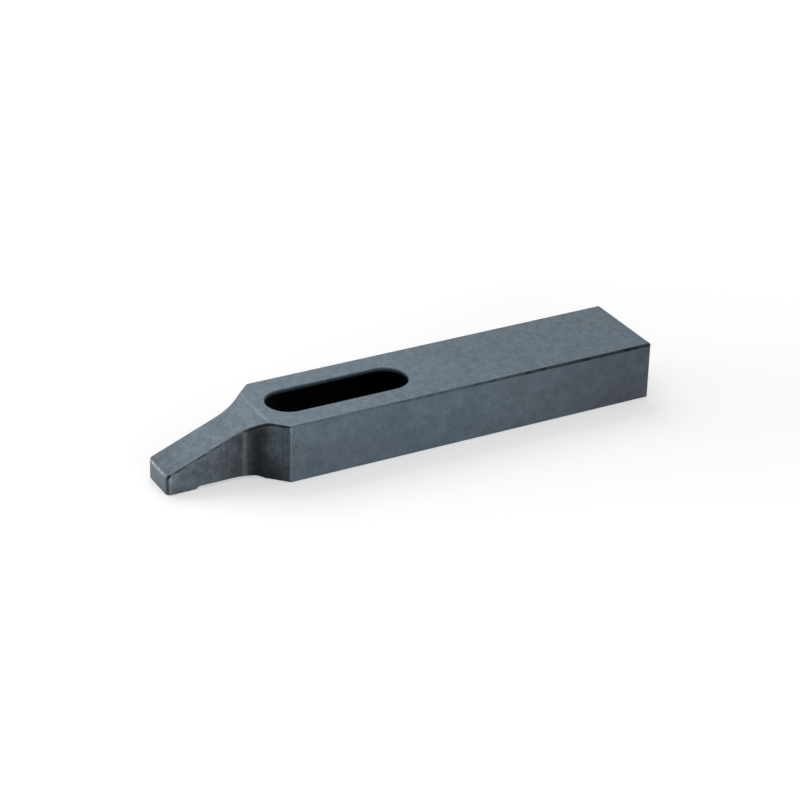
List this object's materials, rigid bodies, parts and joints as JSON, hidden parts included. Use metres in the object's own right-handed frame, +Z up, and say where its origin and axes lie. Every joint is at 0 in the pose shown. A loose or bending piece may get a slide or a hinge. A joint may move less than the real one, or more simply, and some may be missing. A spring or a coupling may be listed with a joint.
{
  "type": "strap clamp",
  "caption": "Flat steel clamping bar with a long stud slot, slanted shoulders and a narrow sloping nose that ends in a relieved pad.",
  "frame": {"origin": "middle of the bar's length and width, on the underside that it rests on", "axes": "+Y along the bar from the nose to the heel, +X across it, +Z up"},
  "size_m": [0.038, 0.2, 0.0232],
  "materials": {
    "blackened_steel": "black oxide over fine milling, satin"
  },
  "bodies": {
    "root": {"clamp_bar": "blackened_steel"}
  },
  "joints": []
}
